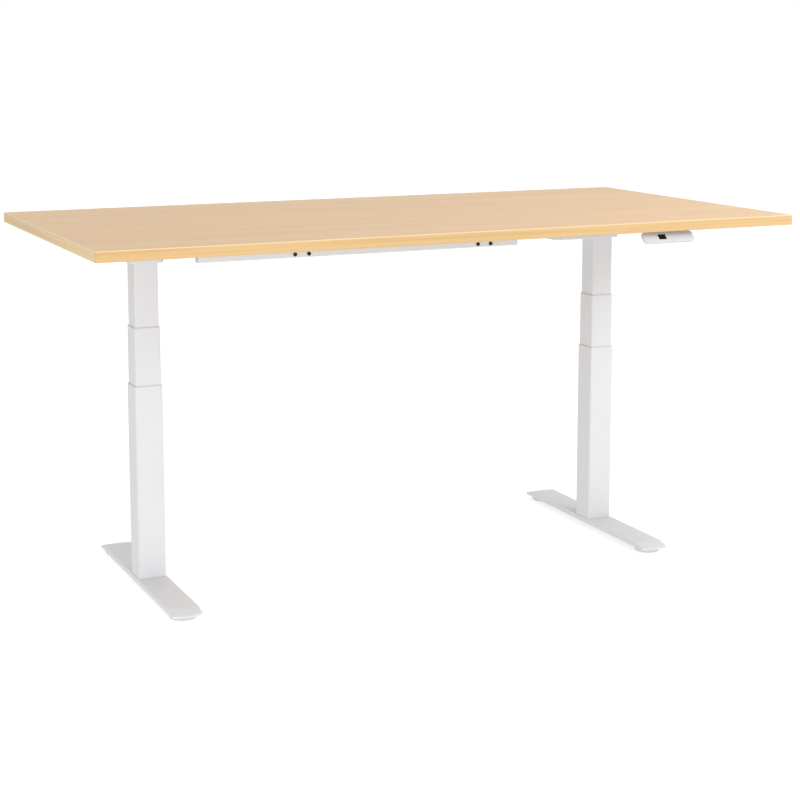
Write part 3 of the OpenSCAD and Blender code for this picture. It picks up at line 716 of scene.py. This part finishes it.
def inner_rail(node, sleeve_low, sleeve_high):
    """A rail: a tube in its sleeve, a channel where it leaves it, and a bolting plate on top."""
    low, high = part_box(node)
    arm_low, arm_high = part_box(node.split("_")[0] + "_support_arm")
    rail_top = arm_low.z - RAIL_PLATE
    play = SHEET + RAIL_PLAY
    y0, y1 = sleeve_low.y + play, sleeve_high.y - play
    if node.startswith("right"):
        leave = sleeve_high.x - RAIL_MOUTH
        inside, outside = (low.x, leave), (leave - RAIL_LAP, high.x)
    else:
        leave = sleeve_low.x + RAIL_MOUTH
        inside, outside = (leave, high.x), (low.x, leave + RAIL_LAP)
    step = low.z + RAIL_STEP
    parts = [walled_tube(node + "_look", y1 - y0, rail_top - low.z, 1.5 * MM, SHEET, *inside,
                         lengthwise((y0 + y1) / 2, (rail_top + low.z) / 2))]
    walls = ((y0, y0 + SHEET, step), (y1 - SHEET, y1, step), (y0, y1, rail_top - SHEET))
    for near, far, bottom in walls:
        parts.append(soft_box("channel", (outside[0], near, bottom), (outside[1], far, rail_top),
                              0.6 * MM))
    parts.append(soft_box("plate", (arm_low.x, low.y, rail_top + 0.01 * MM),
                          (arm_high.x, high.y, arm_low.z), 0.8 * MM))
    settle(joined(node + "_look", parts), "top", [node], "white_powder_coat")


# ---------- screws ----------

# Radii of shanks and heads, and heights of heads
M6_SHANK, M6_HEAD, M6_HEAD_LOW, M6_HEAD_HIGH = 2.9 * MM, 5 * MM, 4 * MM, 5 * MM
M8_SHANK, M8_HEAD, M8_HEAD_HIGH = 3.9 * MM, 6.5 * MM, 6 * MM


def socket_head(name, place, shank_r, shank_l, head_r, head_h, dome=0.35):
    """A socket screw with its shank on the plus side of height 0, where its head is seated.
    dome is the share of the head's height that is domed."""
    socket_r = 0.55 * head_r
    stations = [
        (shank_l, 0.7 * shank_r, "round"), (shank_l - 0.6 * MM, shank_r, "round"),
        (0, shank_r, "round"), (0, head_r - 0.3 * MM, "round"), (-0.3 * MM, head_r, "round"),
        (-head_h * (1 - dome), head_r, "round"), (-head_h * (1 - dome / 3), 0.9 * head_r, "round"),
        (-head_h, 0.72 * head_r, "round"), (-head_h, socket_r + 0.2 * MM, "hex"),
        (-head_h + 0.2 * MM, socket_r, "hex"), (-0.5 * head_h, socket_r, "hex"),
        (-0.42 * head_h, 0.2 * socket_r, "round"),
    ]
    return turned(name, stations, place, 36)


def islands(node):
    """Boxes of the separate solids in a CAD node, as (low, high)."""
    work = bmesh.new()
    work.from_mesh(frame["nodes"][node].data)
    bmesh.ops.remove_doubles(work, verts=work.verts, dist=1e-6)
    work.verts.ensure_lookup_table()
    seen, found = set(), []
    for vertex in work.verts:
        if vertex.index in seen:
            continue
        seen.add(vertex.index)
        stack, corners = [vertex], []
        while stack:
            v = stack.pop()
            corners.append(v.co.copy())
            for e in v.link_edges:
                other = e.other_vert(v)
                if other.index not in seen:
                    seen.add(other.index)
                    stack.append(other)
        low = Vector([min(c[i] for c in corners) for i in range(3)])
        high = Vector([max(c[i] for c in corners) for i in range(3)])
        found.append((low, high))
    work.free()
    return found


def rail_screws():
    """The black screws that clamp the rails, with their heads outside the sleeves."""
    middle_y = middle_of("left_upper_tube").y
    parts = []
    for low, high in islands("rail_clamp_screws"):
        x, z = (low.x + high.x) / 2, (low.z + high.z) / 2
        outer, sign = (low.y, 1) if low.y < middle_y else (high.y, -1)
        seat = outer + sign * M6_HEAD_LOW

        def place(u, v, w, x=x, z=z, seat=seat, sign=sign):
            return (x + u, seat + sign * w, z + sign * v)

        parts.append(socket_head("screw", place, M6_SHANK, 5.5 * MM, M6_HEAD, M6_HEAD_LOW, 0.6))
    settle(joined("rail_clamp_screws_look", parts), "top", ["rail_clamp_screws"], "black_screw")


def frame_bolts():
    """The bolts of the frame. Those that come down through an arm reach from above its
    underside to well below it."""
    arm_low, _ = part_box("left_support_arm")
    parts = []
    for low, high in islands("frame_bolts"):
        centre = centre_line(low, high)
        down = high.z > arm_low.z + 5 * MM and low.z < arm_low.z - 8 * MM
        seat = high.z - M6_HEAD_HIGH if down else low.z + M6_HEAD_HIGH
        sign = -1 if down else 1

        def place(u, v, w, centre=centre, seat=seat, sign=sign):
            return (centre[0] + u, centre[1] + sign * v, seat + sign * w)

        parts.append(socket_head("bolt", place, M6_SHANK, 10 * MM, M6_HEAD, M6_HEAD_HIGH))
    settle(joined("frame_bolts_look", parts), "top", ["frame_bolts"], "zinc_steel")


def foot_bolts():
    """The bolts that hold the columns, with their heads under the feet."""
    parts = []
    for low, high in islands("foot_bolts"):
        centre = centre_line(low, high)
        seat = low.z + M8_HEAD_HIGH

        def place(u, v, w, centre=centre, seat=seat):
            return (centre[0] + u, centre[1] + v, seat + w)

        parts.append(socket_head("bolt", place, M8_SHANK, 10.5 * MM, M8_HEAD, M8_HEAD_HIGH))
    settle(joined("foot_bolts_look", parts), "base", ["foot_bolts"], "zinc_steel")


# ---------- handset ----------

FACE_RUN = 21 * MM                  # how far the face leans back over its height
FACE_RISE = 23 * MM
FACE_RADIUS = 9 * MM
BEZEL = 6 * MM                      # thickness of the bezel
BEZEL_SOFT = 1.6 * MM
INLAY_GAP = 0.12 * MM
SLOPE = Vector((0, FACE_RUN, FACE_RISE)).normalized()
OUTWARD = Vector((0, -SLOPE.z, SLOPE.y))
FACE_LENGTH = math.hypot(FACE_RUN, FACE_RISE)


def on_face(x, v, lift):
    """A point of the handset's sloping face: v up the slope, lift out of it."""
    low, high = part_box("handset_bezel")
    return Vector((x, low.y, high.z - FACE_RISE)) + SLOPE * v + OUTWARD * lift


def face_plate(name, x0, x1, height, radius, levels):
    """A rounded plate parallel to the face. levels are (how far its outline grows, lift)."""
    centre = ((x0 + x1) / 2, FACE_LENGTH / 2)
    rings = []
    for grow, lift in levels:
        ring = rounded_ring(x1 - x0 + 2 * grow, height + 2 * grow, radius + grow, centre)
        rings.append([on_face(x, v, lift) for x, v in ring])
    return skin(name, rings, closed=False)


def handset():
    """The sloping bezel, with its window and key film let into it."""
    low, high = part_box("handset_bezel")
    levels = [(-0.3 * MM, -BEZEL), (0, -BEZEL + 0.3 * MM)]
    for i in range(6):
        angle = math.radians(18 * i)
        levels.append((BEZEL_SOFT * (math.cos(angle) - 1), BEZEL_SOFT * (math.sin(angle) - 1)))
    bezel = face_plate("handset_bezel_look", low.x, high.x, FACE_LENGTH, FACE_RADIUS, levels)

    window_low, window_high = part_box("handset_window")
    film_low, film_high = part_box("handset_key_film")
    # Node, ends, height, corner radius, depth and slot of what is let into the bezel
    inlays = (
        ("handset_window", window_low.x, window_high.x, 14.8 * MM, 1.2 * MM, 1.2 * MM, "display_black"),
        ("handset_key_film", film_low.x, film_high.x, 15.8 * MM, 2 * MM, 0.6 * MM, "key_film"),
    )
    recesses = [face_plate("recess", x0, x1, height, radius, [(INLAY_GAP, -depth), (INLAY_GAP, 1 * MM)])
                for _, x0, x1, height, radius, depth, _ in inlays]
    settle(cut(bezel, recesses), "top", ["handset_bezel"], "handset_white")
    for node, x0, x1, height, radius, depth, slot in inlays:
        plate = face_plate(node + "_look", x0, x1, height, radius,
                           [(0, 0.05 * MM - depth), (0, -0.2 * MM), (-INLAY_GAP, -0.05 * MM)])
        settle(plate, "top", [node], slot)
    touch_marks(film_low.x, film_high.x)


def touch_marks(x0, x1):
    """Printed marks on the key film: an up arrow, a down arrow and three round keys."""
    middle = FACE_LENGTH / 2
    marks = []

    def mark(points):
        rings = [[on_face(x, v, lift) for x, v in points] for lift in (-0.08 * MM, -0.02 * MM)]
        marks.append(skin("mark", rings, closed=False))

    for share, turn in ((0.14, 1), (0.32, -1)):
        x = x0 + share * (x1 - x0)
        arrow = [(x - 2.2 * MM, middle - turn * 1.4 * MM), (x + 2.2 * MM, middle - turn * 1.4 * MM),
                 (x, middle + turn * 2 * MM)]
        mark(arrow if turn > 0 else arrow[::-1])
    for share in (0.52, 0.68, 0.84):
        x = x0 + share * (x1 - x0)
        mark([(x + 1.5 * MM * math.cos(a), middle + 1.5 * MM * math.sin(a))
              for a in (2 * math.pi * i / 24 for i in range(24))])
    settle(joined("handset_touch_marks", marks), "top", [], "key_film", "key_mark")


# ---------- lifting screws ----------

THREAD_DEPTH = 1.1 * MM
LEAD_PITCH = 4 * MM
THREAD_STEPS = 28
NUT_TUBE_RADIUS = 10 * MM
NUT_TUBE_KEY = 12 * MM              # corner radius of the hexagon that the drive tube turns


def circle(place, radius, height):
    return [place(radius * math.cos(a), radius * math.sin(a), height)
            for a in (2 * math.pi * i / THREAD_STEPS for i in range(THREAD_STEPS))]


def thread(place, crest, start, end):
    """Rings of a trapezoidal thread that climbs from start to end."""
    rings = []
    count = round((end - start) / (LEAD_PITCH / 8))
    for level in range(count + 1):
        height = start + (end - start) * level / count
        ring = []
        for i in range(THREAD_STEPS):
            phase = (height / LEAD_PITCH - i / THREAD_STEPS) % 1
            # Flat at the crest and the root, with a straight flank between them
            rise = min(1, max(0, 4 * abs(phase - 0.5) - 0.5))
            angle = 2 * math.pi * i / THREAD_STEPS
            radius = crest - THREAD_DEPTH * (1 - rise)
            ring.append(place(radius * math.cos(angle), radius * math.sin(angle), height))
        rings.append(ring)
    return rings


def lead_screw(side):
    """The lead screw that stands in the foot. Gives the radius of its crests."""
    node = f"{side}_lead_screw"
    low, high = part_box(node)
    place = upright(middle_of(node))
    crest = (high.x - low.x) / 2
    root = crest - THREAD_DEPTH
    rings = [circle(place, root, low.z), circle(place, root, low.z + 20 * MM)]
    rings += thread(place, crest, low.z + 21 * MM, high.z - 3 * MM)
    rings += [circle(place, root, high.z - 2 * MM), circle(place, root - 1 * MM, high.z)]
    settle(skin(node + "_look", rings, closed=False), "base", [node], "turned_steel")
    return crest


def hexagon(place, corner, height):
    """A hexagon with as many points as a circle has, so that the two can be joined."""
    ring = []
    for i in range(THREAD_STEPS):
        angle = 2 * math.pi * i / THREAD_STEPS
        fold = angle % (math.pi / 3) - math.pi / 6
        reach = corner * math.cos(math.pi / 6) / math.cos(fold)
        ring.append(place(reach * math.cos(angle), reach * math.sin(angle), height))
    return ring


def nut_tube(side, crest):
    """The hollow screw that turns on the lead screw, with a flange, an outer thread and a key."""
    node = f"{side}_nut_tube"
    low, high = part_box(node)
    place = upright(middle_of(f"{side}_lead_screw"))
    flange = (high.x - low.x) / 2
    bore = crest + 0.05 * MM
    root = NUT_TUBE_RADIUS - THREAD_DEPTH
    flange_low, flange_high, key_low = low.z + 6 * MM, low.z + 12 * MM, high.z - 15 * MM
    rings = [circle(place, bore, low.z), circle(place, NUT_TUBE_RADIUS, low.z),
             circle(place, NUT_TUBE_RADIUS, flange_low), circle(place, flange, flange_low),
             circle(place, flange, flange_high), circle(place, root, flange_high)]
    rings += thread(place, NUT_TUBE_RADIUS, flange_high + 1 * MM, key_low - 1 * MM)
    rings += [circle(place, root, key_low), hexagon(place, NUT_TUBE_KEY, key_low),
              hexagon(place, NUT_TUBE_KEY, high.z), circle(place, bore, high.z)]
    settle(skin(node + "_look", rings, closed=True), BODY_OF[node], [node], "turned_steel")


# ---------- CAD nodes that keep their shape ----------

# How wide the broken edges are on the nodes of each slot
EDGE_OF_SLOT = {
    "cast_gearbox": 1.2 * MM, "motor_black": 1.5 * MM, "turned_steel": 0.4 * MM, "nut_brass": 0.6 * MM,
    "bearing_block": 0.8 * MM, "control_box_black": 0.7 * MM, "circuit_board": 0.15 * MM,
    "socket_plastic": 0.3 * MM, "handset_white": 0.8 * MM, "zinc_steel": 0.3 * MM,
}


def softened(node, width):
    """A copy of a CAD node with its flat facets merged and its sharp edges broken."""
    work = bmesh.new()
    work.from_mesh(frame["nodes"][node].data)
    bmesh.ops.remove_doubles(work, verts=work.verts, dist=1e-6)
    bmesh.ops.dissolve_limit(work, angle_limit=math.radians(1), verts=work.verts, edges=work.edges)
    sharp = [e for e in work.edges
             if len(e.link_faces) == 2 and e.calc_face_angle(0) > math.radians(40)]
    bmesh.ops.bevel(work, geom=sharp, offset=width, segments=2, profile=0.5, affect="EDGES",
                    clamp_overlap=True)
    mesh = bpy.data.meshes.new(node + "_look")
    work.to_mesh(mesh)
    work.free()
    piece = bpy.data.objects.new(node + "_look", mesh)
    settle(piece, BODY_OF[node], [node], SLOT_OF[node], smooth=20)


def finish_cad_nodes():
    """Softens the edges of the nodes that nothing replaces, and paints what keeps its CAD mesh."""
    for node, piece in frame["nodes"].items():
        if piece.hide_render:
            continue
        slot = SLOT_OF[node]
        if slot in EDGE_OF_SLOT:
            softened(node, EDGE_OF_SLOT[slot])
        else:
            piece.data.materials.clear()
            piece.data.materials.append(MATERIALS[slot])


# ---------- stage ----------

FLOOR_GLOW = 0.6
# Name, place, what it is aimed at, size and watts of each lamp
LAMPS = (
    ("high right", (1.85, -1.55, 1.95), (0.5, -0.1, 0.9), (1.2, 0.9), 32),
    ("low left", (-1.6, -2.95, 0.98), (-0.8, 0, 0.5), (1.0, 0.6), 45),
)


def floor():
    """A plain pale floor that glows a little, so that it reads as white."""
    work = bmesh.new()
    bmesh.ops.create_grid(work, x_segments=1, y_segments=1, size=30)
    mesh = bpy.data.meshes.new("floor")
    work.to_mesh(mesh)
    work.free()
    piece = bpy.data.objects.new("floor", mesh)
    bpy.context.scene.collection.objects.link(piece)
    material, tree, shader = new_material("floor", 0.9)
    shader.inputs["Specular IOR Level"].default_value = 0.0
    tone = ramp(tree, noise(tree, 1.5), [(0.3, 0.49), (0.7, 0.51)])
    tree.links.new(tone, shader.inputs["Base Color"])
    shader.inputs["Emission Color"].default_value = (1, 1, 1, 1)
    shader.inputs["Emission Strength"].default_value = FLOOR_GLOW
    mesh.materials.append(material)


def area_light(name, place, target, size, power):
    """A soft lamp that lights the desk without mirroring itself as a hot spot in its top."""
    light = bpy.data.lights.new(name, "AREA")
    light.shape = "RECTANGLE"
    light.size, light.size_y = size
    light.energy = power
    lamp = bpy.data.objects.new(name, light)
    lamp.visible_glossy = False
    lamp.location = place
    lamp.rotation_euler = (Vector(target) - Vector(place)).to_track_quat("-Z", "Y").to_euler()
    bpy.context.scene.collection.objects.link(lamp)


def lights():
    """A white studio, with one lamp high on the right and one low on the left."""
    scene = bpy.context.scene
    scene.view_settings.view_transform = "Standard"
    world = bpy.data.worlds.new("studio")
    world.use_nodes = True
    world.node_tree.nodes["Background"].inputs["Color"].default_value = (1, 1, 1, 1)
    world.node_tree.nodes["Background"].inputs["Strength"].default_value = 1.0
    scene.world = world
    for lamp in LAMPS:
        area_light(*lamp)


def camera():
    data = bpy.data.cameras.new("camera")
    data.lens = CAMERA_LENS
    data.shift_y = CAMERA_SHIFT
    eye = bpy.data.objects.new("camera", data)
    eye.location = CAMERA_PLACE
    eye.rotation_euler = (math.pi / 2 - CAMERA_PITCH, 0, -CAMERA_YAW)
    bpy.context.scene.collection.objects.link(eye)
    bpy.context.scene.camera = eye


camera()
lights()
floor()
edge_bands()
column_tubes()
tube_guides()
feet()
glides()
head_housings()
support_arms()
rails()
rail_screws()
frame_bolts()
foot_bolts()
handset()
for hand in SIDES:
    nut_tube(hand, lead_screw(hand))
finish_cad_nodes()
